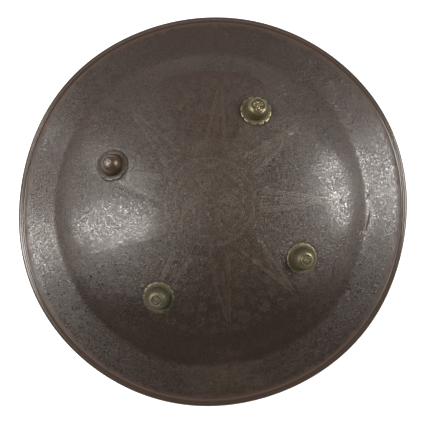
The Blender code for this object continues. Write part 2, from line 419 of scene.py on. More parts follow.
def iron_material(colours):
    """Russet iron: clouded brown patina, leathery grain, pale cuts and rust in the rim's seam.

    It also carries painted shade and light on the iron, and painted shadows round the bosses.
    """
    finish = Finish("russet_iron")
    cloud = finish.noise(scale=11.0, detail=4.0, roughness=0.55)
    patch = finish.noise(scale=6.5, detail=3.0, roughness=0.5, distortion=0.4)
    mottle = finish.noise(scale=120.0, detail=4.0, roughness=0.6)
    grain = finish.noise(scale=700.0, detail=3.0, roughness=0.6)
    field = finish.painted("field")
    bright = finish.painted("bright")
    dark = finish.painted("dark")
    seam = finish.painted("seam")
    worn = finish.painted("worn")

    # Fine scratching: worm tracks along the middle values of one noise, stitches along the
    # contours of another
    vein = finish.noise(scale=470.0, detail=1.0, roughness=0.5, distortion=0.9)
    track = 1.0 - finish.step((vein - 0.5).math("ABSOLUTE"), 0.010, 0.085)
    worm = track * (field * 0.85 + 0.15)
    swirl = finish.noise(scale=190.0, detail=0.0, roughness=0.5, distortion=0.7)
    contour = (swirl * 6.0).math("PINGPONG", 0.5)
    stitch = (1.0 - finish.step(contour, 0.04, 0.26)) * field

    # Painted shading: the tone is darker towards the foot and lighter in the middle, over the shoulder
    # and on the rolled rim
    tone = cloud * 0.5 + mottle * 0.3 + grain * 0.2 - finish.painted("dusk") * 0.16
    patina = finish.step(tone, 0.38, 0.62)
    ground = finish.mix(patina, rgba(colours.iron_dark), rgba(colours.iron_light))
    ragged = finish.painted("russet") + (patch - 0.5) * 1.1 + (mottle - 0.5) * 0.6
    warmth = finish.step(ragged, 0.35, 0.85)
    clouded = finish.mix(warmth * 0.95, ground, rgba(colours.iron_russet))
    scratched = finish.mix(worm * 0.36, clouded, rgba(colours.iron_dark, 0.35))
    stitched = finish.mix(stitch * 0.14, scratched, rgba(colours.iron_cut))
    cut = bright * (0.45 + finish.step(patch * 0.5 + mottle * 0.5, 0.36, 0.56) * 0.55)
    lined = finish.mix(cut * 0.85, stitched, rgba(colours.iron_cut))
    # Dark strokes: the dark engraved lines, the crack, and the painted shadows round the bosses
    dark_lines_and_shadows = finish.mix(dark * 0.80, lined, rgba(colours.iron_dark, 0.45))
    rusted = finish.mix(seam * finish.step(mottle, 0.30, 0.62), dark_lines_and_shadows, rgba(colours.rust))
    chipped = finish.mix(worn * finish.step(grain, 0.42, 0.58), rusted, rgba(colours.iron_bare))

    bare = finish.step(cut, 0.50, 0.90)
    dull = finish.painted("dull") * 0.16 + warmth * 0.08 + seam * 0.40
    roughness = 0.150 + (mottle - 0.5) * 0.12 + (cloud - 0.5) * 0.12 + stitch * 0.24 + dark * 0.40
    dents = finish.bump(mottle, distance=0.000070)
    leather = finish.bump(1.0 - worm, distance=0.000060, normal=dents)
    graved = finish.bump(1.0 - stitch, distance=0.000070, normal=leather)
    return finish.done(
        Base_Color=chipped,
        Metallic=worn * 0.6 + bare * 0.4,
        Roughness=roughness + worm * 0.34 + cut * (0.10 - bare * 0.10) + dull,
        IOR=PATINA_IOR,
        Normal=finish.bump(grain, distance=0.000035, normal=graved),
    )


def boss_material(name, metal, dirt, flange, edges, metallic, roughness):
    """Aged metal of a boss: dirt in the hollows, bright worn edges, a duller flange.

    The dirt colour also paints shade at the bells' feet and over each boss as a whole.
    """
    finish = Finish(name)
    mottle = finish.noise(scale=260.0, detail=4.0, roughness=0.6)
    grain = finish.noise(scale=1500.0, detail=3.0, roughness=0.6)
    worn = finish.painted("worn")
    # The dark colour shows where dirt lies and where shade is painted
    dirt_and_shade_share = finish.step(finish.painted("hollow") * 0.9 + (mottle - 0.5) * 0.8, 0.10, 0.80)
    plain = finish.mix(finish.painted("flange"), rgba(metal), flange)
    clouded = finish.mix(finish.step(mottle, 0.62, 0.38) * 0.5, plain, rgba(metal, 0.55))
    rubbed = finish.mix(worn * 0.80, clouded, edges)
    return finish.done(
        Base_Color=finish.mix(dirt_and_shade_share * 0.85, rubbed, rgba(dirt)),
        Metallic=metallic - dirt_and_shade_share * metallic * 0.7 + worn * 0.2,
        Roughness=roughness + (mottle - 0.5) * 0.2 + dirt_and_shade_share * 0.2 - worn * 0.12,
        Normal=finish.bump(mottle * 0.6 + grain * 0.4, distance=0.00020),
    )


def floor_material(colour, glow):
    """Plain pale matt floor."""
    finish = Finish("pale_floor")
    faint = finish.noise(scale=3.0, detail=2.0, roughness=0.5)
    return finish.done(
        Base_Color=finish.mix(faint, rgba(colour), rgba(colour, 0.99)),
        Roughness=0.9,
        Emission_Color=WHITE,
        Emission_Strength=glow,
    )


# ---------------------------------------------------------------- the shield's surface
# The section is kept as a table in even steps, and near the crease each of its heights is the
# weighted mean of those round it
SECTION_STEP = 0.0005
EASE_STEPS = 19
EASE_REACH = 0.010
# Within this of the brim's end the hammer's waves die out
HAMMER_FADE = 0.020


def ramp(value, low, high):
    """Rises from 0 to 1 as a value goes from low to high, which may be the smaller of the two."""
    return np.clip((value - low) / (high - low), 0.0, 1.0)


def bump_of(distance, width):
    """A soft 0 to 1 bump round zero distance."""
    return np.exp(-np.square(distance / width))


def dome_height(radius):
    """Height of the outer face on the dome and its shoulder, which rolls off the sphere."""
    past_edge = np.maximum(0.0, (radius - DOME_EDGE) / (SHOULDER_RADIUS - DOME_EDGE))
    sphere = SPHERE_CENTRE.z + np.sqrt(DOME_SPHERE ** 2 - np.square(radius))
    return sphere - SHOULDER_DROP * past_edge ** 2


def brim_height(radius):
    """Height of the brim's outer face."""
    start = dome_height(SHOULDER_RADIUS) - BRIM_DROP
    steep = math.tan(BRIM_SLOPE_IN)
    flat = math.tan(BRIM_SLOPE_OUT)
    run = radius - BRIM_START
    return start - steep * run + (steep - flat) * run ** 2 / (2 * (BRIM_END - BRIM_START))


def outer_section():
    """Radii and heights of the outer face a little past the brim's end, with its crease eased."""
    radii = np.arange(0.0, BRIM_END + 0.004, SECTION_STEP)
    dome = dome_height(np.minimum(radii, SHOULDER_RADIUS))
    heights = np.where(radii < BRIM_START, dome, brim_height(radii))
    bend = (radii > SHOULDER_RADIUS) & (radii < BRIM_START)
    levels = (float(dome_height(SHOULDER_RADIUS)), float(brim_height(BRIM_START)))
    heights[bend] = np.interp(radii[bend], (SHOULDER_RADIUS, BRIM_START), levels)
    weights = np.hanning(EASE_STEPS + 2)[1:-1]
    eased = np.convolve(heights, weights / weights.sum(), mode="same")
    near_crease = np.abs(radii - SHOULDER_RADIUS) < EASE_REACH
    return radii, np.where(near_crease, eased, heights)


SECTION = outer_section()


def outer_height(radius):
    """Height of the outer face at any radius out to the brim's end."""
    dome = dome_height(np.minimum(radius, DOME_EDGE))
    return np.where(radius < DOME_EDGE, dome, np.interp(radius, *SECTION))


def inner_height(radius):
    """Height of the inside face: the sheet's thickness under the outer one, along the slope."""
    reach = 0.001
    rise = outer_height(radius + reach) - outer_height(np.maximum(radius - reach, 0.0))
    return outer_height(radius) - SHEET * np.sqrt(1 + (rise / (2 * reach)) ** 2)


def out_of_true(points):
    """Move points of the round shield to where the hand-raised one has them."""
    radius = np.hypot(points[:, 0], points[:, 1])
    direction = np.arctan2(points[:, 1], points[:, 0])
    share = ramp(radius, DOME_EDGE, BRIM_END)
    share = share * share * (3 - 2 * share)
    swell = sum(part * np.cos(waves * (direction - axis)) for waves, part, axis in OVALS)
    stretch = 1 + swell * share
    moved = points.copy()
    moved[:, 0] = points[:, 0] * stretch + DOME_SHIFT.x * (1 - share)
    moved[:, 1] = points[:, 1] * stretch + DOME_SHIFT.y * (1 - share)
    return moved


def hammered(points, height, scale):
    """Raise and sink points by the hammer's slow unevenness, which dies out at the rim."""
    lift = np.array([noise.noise(Vector((x, y, 0.0)) * scale) for x, y, _ in points])
    radius = np.hypot(points[:, 0], points[:, 1])
    share = ramp(radius, BRIM_END, BRIM_END - HAMMER_FADE)
    moved = points.copy()
    moved[:, 2] += height * lift * share
    return moved


def boss_axis(name):
    """Unit vector from the centre of the dome's sphere through a boss, read from its solid."""
    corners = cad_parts[name].data.vertices
    middle = sum((corner.co for corner in corners), Vector()) / len(corners)
    return (middle - SPHERE_CENTRE).normalized()


def boss_frame(axis):
    """Matrix that stands a boss square to the dome."""
    direction = math.atan2(axis.y, axis.x)
    turn = Matrix.Rotation(direction, 4, "Z") @ Matrix.Rotation(math.acos(axis.z), 4, "Y")
    return Matrix.Translation(SPHERE_CENTRE + axis * DOME_SPHERE) @ turn


# ---------------------------------------------------------------- the graver's strokes
def polar(radius, direction):
    """A point in plan, about the dome's middle."""
    return Vector((radius * math.cos(direction), radius * math.sin(direction)))


# Steps along strokes, lines and leaves. A ring's step, as an angle, is the root of RING_STEP
# over its radius
SAMPLE_STEP = 0.0003
LINE_STEP = 0.006
LEAF_STEP = 0.0026
RING_STEP = 0.0022
CURL_STEPS_A_TURN = 8
# How wide a stroke is at its ends, and how much it gains over its length until it is full
END_WIDTH = 0.4
END_GAIN = 3.5
# A petal's fullness times the number of petals, and the reach past which a flower's petals have
# a vein, and a second edge
PETAL_FULLNESS = 2.0
VEINED_REACH = 0.005
LINED_REACH = 0.0092


class Stroke:
    """One cut: points in plan, each with its half width and its depth, and the tone it shows.

    A stroke with a negative depth stands proud.
    """

    def __init__(self, points, halves, depths, tone):
        self.points = points
        self.halves = halves
        self.depths = depths
        self.tone = tone

    def samples(self):
        """Places close together along the stroke: point, half width, depth and tone."""
        places = []
        entries = list(zip(self.points, self.halves, self.depths))
        for (start, half_a, deep_a), (end, half_b, deep_b) in zip(entries, entries[1:]):
            count = max(1, math.ceil((end - start).length / SAMPLE_STEP))
            for index in range(count):
                share = index / count
                places.append((start.lerp(end, share), half_a + (half_b - half_a) * share,
                               deep_a + (deep_b - deep_a) * share, self.tone))
        places.append((*entries[-1], self.tone))
        return places


class Engraving:
    """Strokes cut in the shield, in plan about the dome's middle.

    Widths and depths are shares of a main line's, and the weight is how strongly all is cut.
    """

    def __init__(self, settings):
        self.settings = settings
        self.strokes = []
        self.rng = random.Random(settings.seed)
        self.weight = 1.0
        self.tone = "bright"

    def cut(self, points, width=1.0, depth=1.0, taper=True):
        """Add one stroke, which thins towards its ends unless it is closed."""
        last = len(points) - 1
        fades = [1.0] * len(points)
        if taper:
            fades = [min(1.0, END_WIDTH + END_GAIN * min(i, last - i) / last)
                     for i in range(len(points))]
        half = self.settings.line_width / 2 * width
        deep = self.settings.line_depth * depth * self.weight
        halves = [half * fade for fade in fades]
        depths = [deep * fade for fade in fades]
        self.strokes.append(Stroke(points, halves, depths, self.tone))

    def line(self, start, end, width=1.0, depth=1.0):
        """A straight stroke."""
        count = max(2, round((end - start).length / LINE_STEP))
        self.cut([start.lerp(end, i / count) for i in range(count + 1)], width, depth)

    def ring(self, radius, width=1.0, depth=1.0, centre=Vector((0.0, 0.0))):
        """A whole circle."""
        count = max(4, math.ceil(math.tau * math.sqrt(radius / RING_STEP)))
        turns = [math.tau * i / count for i in range(count + 1)]
        self.cut([centre + polar(radius, turn) for turn in turns], width, depth, taper=False)

    def curl(self, centre, radius, first, sense, turns, width=0.9, depth=0.9):
        """A spiral that winds in from its outer end to a fifth of its radius."""
        count = max(6, math.ceil(turns * CURL_STEPS_A_TURN))
        points = []
        for index in range(count + 1):
            share = index / count
            winding = radius * (1 - 0.80 * share ** 0.85)
            points.append(centre + polar(winding, first + sense * share * turns * math.tau))
        self.cut(points, width, depth)

    def leaf(self, base, tip, fullness, veins=0, width=0.85, depth=0.9):
        """An almond leaf: two bowed edges, with a midrib and slanting veins if it has any."""
        along = tip - base
        across = Vector((-along.y, along.x)) * fullness
        count = max(4, round(along.length / LEAF_STEP))
        for side in (-1, 1):
            points = []
            for index in range(count + 1):
                share = index / count
                bow = math.sin(math.pi * share ** 0.85)
                points.append(base + along * share + across * side * bow)
            self.cut(points, width, depth)
        if veins:
            self.line(base, base + along * 0.82, width * 0.8, depth * 0.8)
        for number in range(veins):
            share = (number + 1.0) / (veins + 1.6)
            root = base + along * share * 0.85
            for side in (-1, 1):
                end = root + along * 0.20 + across * side * 0.72 * math.sin(math.pi * share)
                self.cut([root, (root + end) / 2, end], width * 0.7, depth * 0.7)

    def lined_leaf(self, base, tip, fullness, veins):
        """A large leaf with a second edge inside the first."""
        self.leaf(base, tip, fullness, width=1.0, depth=1.0)
        inset = (tip - base) * 0.14
        self.leaf(base + inset, tip - inset * 1.2, fullness * 0.72, veins, width=0.75, depth=0.8)

    def bloom(self, centre, reach, petals, turn):
        """An open flower: an eye ringed by pointed petals, which are lined if it is large."""
        self.ring(reach * 0.19, width=0.8, depth=0.9, centre=centre)
        fullness = PETAL_FULLNESS / petals
        for number in range(petals):
            direction = turn + number * math.tau / petals
            base = centre + polar(reach * 0.22, direction)
            tip = centre + polar(reach, direction)
            if reach > LINED_REACH:
                self.lined_leaf(base, tip, fullness, veins=1)
            else:
                self.leaf(base, tip, fullness, veins=1 if reach > VEINED_REACH else 0)

    def palmette(self, centre, reach, turn):
        """A fan of leaves that springs from a pair of curls."""
        root = centre - polar(reach * 0.62, turn)
        for share in (-1.0, -0.5, 0.0, 0.5, 1.0):
            direction = turn + share * 1.15
            tip = root + polar(reach * (1.58 - 0.55 * abs(share)), direction)
            self.leaf(root + polar(reach * 0.22, direction), tip, fullness=0.17, veins=2)
        for side in (-1, 1):
            place = root + polar(reach * 0.42, turn + side * 2.05)
            self.curl(place, reach * 0.24, turn, side, turns=1.1)

    def scroll(self, centre, reach, turn, sense):
        """A curl with small leaves springing from its back."""
        self.curl(centre, reach * 0.74, turn, sense, turns=1.35, width=1.0, depth=1.0)
        for number in range(5):
            direction = turn + sense * (0.7 + number * 0.85)
            base = centre + polar(reach * 0.70, direction)
            tip = centre + polar(reach * 1.06, direction + sense * 0.42)
            self.leaf(base, tip, fullness=0.36, width=0.7, depth=0.8)

    def vine(self, centre, reach, turn, sense):
        """A curl with three short shoots on its back."""
        self.curl(centre, reach * 0.78, turn, sense, turns=1.3, width=1.0, depth=1.0)
        for number in range(3):
            direction = turn + sense * (0.9 + number * 1.5)
            root = centre + polar(reach * 0.72, direction)
            tip = centre + polar(reach * 1.05, direction + sense * 0.55)
            bend = centre + polar(reach * 1.02, direction + sense * 0.15)
            self.cut([root, bend, tip], width=0.9, depth=0.9)


def ray_clearance(x, y):
    """Distance from places in plan to the nearest ray's edge, negative inside a ray."""
    direction = np.arctan2(y, x)
    radius = np.hypot(x, y)
    off = np.min([np.abs(np.mod(direction - ray + math.pi, math.tau) - math.pi) for ray in RAYS],
                 axis=0)
    along = radius * np.cos(off)
    across = radius * np.sin(off)
    width = RAY_BASE_WIDTH / 2 * (RAY_TIP - along) / (RAY_TIP - MEDALLION_OUTER)
    return np.where(along > RAY_TIP, np.hypot(along - RAY_TIP, across), across - width)


def engrave_medallion(work):
    """Two deep rings with a running scroll between them, round a rosette of pointed petals."""
    work.tone = "dark"
    work.ring(MEDALLION_INNER - 0.0011, width=0.7, depth=0.4)
    work.ring(MEDALLION_OUTER + 0.0011, width=0.7, depth=0.4)
    work.tone = "bright"
    work.ring(MEDALLION_INNER, width=1.2, depth=1.4)
    work.ring(MEDALLION_INNER + 0.0024, width=0.8, depth=0.7)
    work.ring(MEDALLION_OUTER - 0.0020, width=0.8, depth=0.7)
    work.ring(MEDALLION_OUTER, width=0.9, depth=0.8)
    band = (MEDALLION_INNER + MEDALLION_OUTER) / 2
    curls = 24
    for number in range(curls):
        direction = number * math.tau / curls
        sense = 1 if number % 2 else -1
        work.curl(polar(band, direction), 0.0036, direction + sense * 1.9, sense,
                  turns=1.2, width=0.8, depth=0.7)
        bud = polar(band - sense * 0.0016, direction + math.pi / curls)
        work.leaf(bud, bud + polar(sense * 0.0034, direction), fullness=0.3, width=0.7, depth=0.6)
    work.ring(0.0047)
    work.ring(0.0066, width=0.7, depth=0.7)
    petals = work.settings.petal_count
    for number in range(petals):
        direction = RAYS[0] + number * math.tau / petals
        base, tip = polar(0.0080, direction), polar(0.0365, direction)
        if number % (petals // 2):
            work.leaf(base, tip, fullness=0.22, veins=3, width=0.8, depth=0.7)
        else:
            work.leaf(base, tip, fullness=0.27, veins=4, width=1.3, depth=1.5)
            work.leaf(base.lerp(tip, 0.14), tip.lerp(base, 0.16), fullness=0.18,
                      width=0.9, depth=1.2)
        between = direction + math.pi / petals
        work.bloom(polar(0.0325, between), 0.0048, petals=5, turn=between)
        work.leaf(polar(0.0190, between), polar(0.0270, between), fullness=0.24,
                  width=0.8, depth=0.8)


def engrave_rays(work):
    """Long pointed rays, each with a double edge and hatched along its length."""
    start = MEDALLION_OUTER + 0.0030
    half_base = RAY_BASE_WIDTH / 2
    hatches = work.settings.hatch_count
    for degrees, strength in RAY_STRENGTHS.items():
        work.weight = strength
        along = polar(1.0, math.radians(degrees))
        across = Vector((-along.y, along.x))
        tip = along * RAY_TIP
        inner_tip = along * (RAY_TIP - 0.014)
        for side in (-1, 1):
            edge = across * side
            work.line(along * start + edge * half_base, tip, width=0.9 + strength * 0.35)
            work.line(along * start + edge * (half_base - 0.0026), inner_tip,
                      width=0.8 + strength * 0.25, depth=0.8)
        for index in range(hatches):
            share = (index + 0.5) / hatches * 2 - 1
            root = along * (start + 0.001) + across * share * (half_base - 0.0040)
            reach = 0.42 + 0.50 * (1 - abs(share)) + work.rng.uniform(-0.10, 0.06)
            work.line(root, root.lerp(inner_tip, reach), width=0.7 + strength * 0.15, depth=0.6)


# The reach past which a motif is a large one, a middling one or a small curl
LARGE_REACH = 0.0066
MIDDLE_REACH = 0.0044
CURL_REACH = 0.0030


class Foliage:
    """Motifs thrown in turn, large to small, wherever a ring-shaped field has room.

    The field lies between the radii low and high. Where it has rays it holds flowers, palmettes
    and scrolls between them, and where it has none it is a band of vines.
    """

    def __init__(self, work, low, high, largest, smallest, bosses, rays):
        self.work = work
        self.low = low
        self.high = high
        self.largest = largest
        self.smallest = smallest
        self.bosses = bosses
        self.rays = rays
        self.taken = []

    def room(self, point):
        """How large a motif fits at a point."""
        radius = point.length
        room = min(radius - self.low, self.high - radius)
        if self.rays:
            room = min(room, float(ray_clearance(point.x, point.y)) - RAY_MARGIN)
        for boss in self.bosses:
            room = min(room, (point - boss).length - FLANGE_RADIUS * FOLIAGE_UNDER_FLANGE)
        for centre, reach in self.taken:
            if room <= self.smallest:
                return room
            room = min(room, (point - centre).length - reach)
        return room

    def flower(self, centre, reach, petals, turn):
        """Engrave a flower, more lightly than the leaves round it."""
        strength = self.work.weight
        self.work.weight = strength * FLOWER_CUT
        self.work.bloom(centre, reach, petals, turn)
        self.work.weight = strength

    def draw(self, centre, reach):
        """Engrave one motif that fills a circle."""
        work = self.work
        turn = work.rng.uniform(0.0, math.tau)
        sense = work.rng.choice((-1, 1))
        kind = work.rng.random()
        if not self.rays:
            work.vine(centre, reach, turn, sense)
        elif reach > LARGE_REACH:
            if kind < 0.45:
                self.flower(centre, reach * 0.98, work.rng.choice((6, 7, 8)), turn)
            elif kind < 0.75:
                work.palmette(centre, reach, turn)
            else:
                work.scroll(centre, reach, turn, sense)
        elif reach > MIDDLE_REACH:
            if kind < 0.35:
                self.flower(centre, reach, 5, turn)
            else:
                work.scroll(centre, reach, turn, sense)
        elif reach > CURL_REACH:
            work.curl(centre, reach * 0.95, turn, sense, turns=work.rng.uniform(1.05, 1.45))
        else:
            along = polar(reach * 1.15, turn)
            bow = Vector((-along.y, along.x)) * sense * 0.45
            work.cut([centre - along, centre + bow, centre + along], width=0.8, depth=0.85)

    def fill(self, throws):
        """Throw motifs of falling size until the ground is covered."""
        for number in range(throws):
            share = number / throws
            wish = self.largest * (1 - share) ** 1.5 + self.smallest * share
            radius = math.sqrt(self.work.rng.uniform(self.low ** 2, self.high ** 2))
            point = polar(radius, self.work.rng.uniform(0.0, math.tau))
            room = self.room(point)
            if room < wish:
                continue
            reach = min(room, self.largest)
            self.taken.append((point, reach))
            self.draw(point, reach)


def engrave_crack(work):
    """The crack beside the crease on the right: its gap, its raised lip, bare specks and a pit."""
    route = [polar(radius, math.radians(degrees)) for degrees, radius in (
        (-2.0, 0.1940), (-3.6, 0.1935), (-5.0, 0.1930), (-6.2, 0.1922), (-7.3, 0.1919), (-8.5, 0.1909),
    )]
    gap = [0.0003, 0.0004, 0.0005, 0.0006, 0.0005, 0.0003]
    work.strokes.append(Stroke(route, gap, [half * 0.5 for half in gap], "dark"))
    lip = [point * (1 + (half + 0.0007) / point.length) for point, half in zip(route, gap)]
    work.strokes.append(Stroke(lip, [0.0008] * len(lip), [-0.00012] * len(lip), "bright"))
    pit = polar(0.1915, math.radians(3.9))
    work.strokes.append(Stroke([pit, pit * 1.006], [0.0005] * 2, [0.0003] * 2, "dark"))
    for radius, degrees, spread, specks in (
        (0.1985, -0.3, 0.0042, 16), (0.1885, -10.2, 0.0040, 14), (0.1870, -13.0, 0.0030, 5),
    ):
        middle = polar(radius, math.radians(degrees))
        for _ in range(specks):
            spot = middle + Vector((work.rng.gauss(0, spread), work.rng.gauss(0, spread))) * 0.6
            dash = polar(0.0005, work.rng.uniform(0.0, math.tau))
            ends = [spot - dash, spot + dash]
            work.strokes.append(Stroke(ends, [0.0004] * 2, [-0.00008] * 2, "worn"))


def engrave_boss_shadows(work):
    """A painted shadow round each boss's flange: a dark, slightly sunk line in the shield."""
    steps = 32
    for name in BOSSES:
        place = boss_frame(boss_axis(name))
        spots = [place @ polar(FLANGE_RADIUS + 0.0004, i / steps * math.tau).to_3d()
                 for i in range(steps + 1)]
        ring = [Vector((spot.x, spot.y)) - DOME_SHIFT for spot in spots]
        ring[-1] = ring[0]
        depth = work.settings.line_depth * 2.2
        work.strokes.append(Stroke(ring, [0.0017] * len(ring), [depth] * len(ring), "dark"))


def engrave_shield(settings, bosses):
    """All the strokes on the shield, but those that the bosses cover."""
    work = Engraving(settings)
    work.weight = MEDALLION_CUT
    engrave_medallion(work)
    engrave_rays(work)
    work.weight = FIELD_CUT
    field = Foliage(work, MEDALLION_OUTER + 0.0025, FIELD_RING - 0.0010,
                    settings.largest_motif, settings.smallest_motif, bosses, rays=True)
    field.fill(settings.throws)
    work.tone = "dark"
    work.ring(FIELD_RING, width=0.9, depth=0.4)
    work.weight = BRIM_CUT
    brim = Foliage(work, SCROLLS_FROM, SCROLLS_TO,
                   settings.brim_motif, settings.brim_motif * 0.55, [], rays=False)
    brim.fill(settings.throws // 8)
    engrave_crack(work)
    cover = FLANGE_RADIUS * HIDDEN_UNDER_FLANGE
    work.strokes = [
        stroke for stroke in work.strokes
        if not any(all((point - boss).length < cover for point in stroke.points) for boss in bosses)
    ]
    # Painted shadows round the bosses' flanges
    engrave_boss_shadows(work)
    return work


# ---------------------------------------------------------------- the shield's mesh
# What is painted on the mesh's points: the tones of the strokes, how the finish varies, and
# the painted shade and light
TONES = ("bright", "dark", "worn")
FINISHES_AND_SHADING = ("field", "russet", "dusk", "dull", "seam")
# How much of its tone a main line shows
LINE_TONE = 0.75
# How much of the ground's texture the rays and the medallion keep
RAY_GROUND = 0.74
MEDALLION_GROUND = 0.80
# How far plain points stray from their grid, as a share of its spacing
STRAY = 0.15
# A stroke is closed if its ends are this near, and the triangulation tells points apart that are
# this far from each other; it fills the whole outline with triangles
SAME_PLACE = 1e-7
PLAN_PRECISION = 1e-6
FILL_ALL = 0
HOLE_STEPS = 24
# The plain inside face has wider-spaced points, thrown with their own seed
BACK_SPACING = 1.8
BACK_SEED = 2
# Points this near each other become one, and edges shorter than the second go
MERGE_DISTANCE = 0.00003
LEAST_EDGE = 0.000001


class PlanPoints:
    """Points and constraint edges of a flat triangulation."""

    def __init__(self):
        self.points = []
        self.edges = []

    def add_loop(self, points):
        """Add a closed ring of points."""
        first = len(self.points)
        self.points.extend(points)
        ring = list(range(first, len(self.points)))
        self.edges.extend(zip(ring, ring[1:] + ring[:1]))

    def add_stroke(self, stroke):
        """Add a stroke's middle line and both its edges."""
        points = stroke.points
        closed = (points[0] - points[-1]).length < SAME_PLACE
        count = len(points) - 1 if closed else len(points)
        first = len(self.points)
        for index in range(count):
            if closed:
                ahead = points[(index + 1) % count]
                behind = points[index - 1 if index else count - 1]
            else:
                ahead = points[min(index + 1, count - 1)]
                behind = points[max(index - 1, 0)]
            along = (ahead - behind).normalized()
            across = Vector((-along.y, along.x)) * stroke.halves[index]
            self.points.extend((points[index], points[index] + across, points[index] - across))
        for index in range(count if closed else count - 1):
            self.edges.append((first + 3 * index, first + 3 * ((index + 1) % count)))

    def triangles(self):
        """Triangulate, and return the points and the faces."""
        points, _, faces, _, _, _ = geometry.delaunay_2d_cdt(
            self.points, self.edges, [], FILL_ALL, PLAN_PRECISION, False)
        flat = np.array([tuple(point) for point in points])
        corners = np.array(faces)
        sides = flat[corners]
        ahead = sides[:, 1] - sides[:, 0]
        aside = sides[:, 2] - sides[:, 0]
        turned = ahead[:, 0] * aside[:, 1] - ahead[:, 1] * aside[:, 0] < 0
        corners[turned] = corners[turned][:, ::-1]
        return flat, corners


def sample_tree(samples):
    """A tree that finds the nearest sample."""
    tree = kdtree.KDTree(len(samples))
    for index, sample in enumerate(samples):
        tree.insert((sample[0].x, sample[0].y, 0.0), index)
    tree.balance()
    return tree


def cut_depths(flat, samples, tree, full_depth):
    """Depth of the V-shaped cuts at each point of the plan, and how much of each tone shows."""
    reach = max(sample[1] for sample in samples)
    depths = np.zeros(len(flat))
    tones = {tone: np.zeros(len(flat)) for tone in TONES}
    for number, (x, y) in enumerate(flat):
        deepest = 0.0
        for _, index, gap in tree.find_range((x, y, 0.0), reach):
            _, half, deep, tone = samples[index]
            depth = deep * max(0.0, 1 - gap / half)
            if abs(depth) > abs(deepest):
                deepest = depth
                shown = tone
        if deepest:
            depths[number] = deepest
            tones[shown][number] = min(1.0, LINE_TONE * abs(deepest) / full_depth)
    return depths, tones


def finish_and_shading_values(flat):
    """How the finish and the painted shading vary in plan.

    field is the fine scratching, russet the reddish cloud, dull the duller shoulder and brim, and
    seam the dirt where the brim meets the rolled rim. The painted shading is painted shade, darker
    towards the foot and on the top of the brim, and painted light, lighter in the middle, over the
    shoulder and at the middle of the brim's foot.
    """
    x, y = flat.T
    radius = np.hypot(x, y)
    brim = ramp(radius, BRIM_START - 0.003, BRIM_START + 0.006)
    shoulder = bump_of(radius - 0.181, 0.009)
    below = ramp(y, -0.030, -0.130)

    clear = np.clip(ray_clearance(x, y) / 0.0015, RAY_GROUND, 1.0)
    clear = np.where(radius < MEDALLION_OUTER, MEDALLION_GROUND, clear)
    ground = (0.70 + 0.30 * ramp(radius, 0.184, 0.174)) * clear * (1 - 0.60 * below)
    scrolled = brim * ramp(radius, BRIM_END - 0.001, BRIM_END - 0.005) * 0.80

    off = np.abs(np.arctan2(y, x) - RUSSET_DIRECTION)
    cloud = ramp(off, RUSSET_SPREAD + 0.06, RUSSET_SPREAD - 0.06)
    cloud = cloud * ramp(radius, 0.045, 0.095) * ramp(radius, 0.170, 0.160)
    warm_brim = (0.28 + bump_of(off, 0.7) * 0.30) * brim

    # Painted shade on the top of the brim and painted light at the middle of the brim's foot
    top_and_foot = brim * bump_of(x, 0.13) * (0.8 - below * 2.45)
    middle = bump_of(radius, 0.080)
    return {
        "field": np.maximum(ground, scrolled),
        "russet": cloud + warm_brim,
        "dusk": below * (1 + brim * 0.5) + top_and_foot - shoulder * 0.4 - middle * 0.5,
        "dull": shoulder * 0.5 + brim * (0.20 + 0.20 * np.clip(x / 0.1, -1.0, 1.0)),
        "seam": np.minimum(ramp(radius, 0.2275, 0.2305), 0.9),
    }


def plain_points(spacing, limit, rng, tree=None, clear=0.0):
    """A loose triangular grid of points over the plan, kept clear of the strokes."""
    points = []
    row_height = spacing * math.sqrt(3) / 2
    rows = math.ceil(limit / row_height)
    for row in range(-rows, rows + 1):
        offset = spacing / 2 if row % 2 else 0.0
        for column in range(-rows, rows + 1):
            point = Vector((
                column * spacing + offset + rng.uniform(-STRAY, STRAY) * spacing,
                row * row_height + rng.uniform(-STRAY, STRAY) * spacing,
            ))
            if point.length > limit - spacing * 0.4:
                continue
            if tree is not None and tree.find((point.x, point.y, 0.0))[2] < clear:
                continue
            points.append(point)
    return points


def hole_ring(name, inside):
    """The mouth of a shank hole on one face of the sheet, in plan about the dome's middle."""
    place = boss_frame(boss_axis(name))
    sink = SHEET if inside else HOLE_RADIUS ** 2 / (2 * DOME_SPHERE)
    ring = []
    for index in range(HOLE_STEPS):
        edge = polar(HOLE_RADIUS, index / HOLE_STEPS * math.tau)
        point = place @ Vector((edge.x, edge.y, -sink))
        ring.append(Vector((point.x - DOME_SHIFT.x, point.y - DOME_SHIFT.y)))
    return ring


def outside_holes(flat, corners, rings):
    """Which faces lie outside every hole."""
    middles = flat[corners].mean(axis=1)
    keep = np.ones(len(corners), dtype=bool)
    for ring in rings:
        centre = sum(ring, Vector((0.0, 0.0))) / len(ring)
        reach = min((point - centre).length for point in ring)
        gap = np.hypot(middles[:, 0] - centre.x, middles[:, 1] - centre.y)
        keep &= gap > reach
    return keep


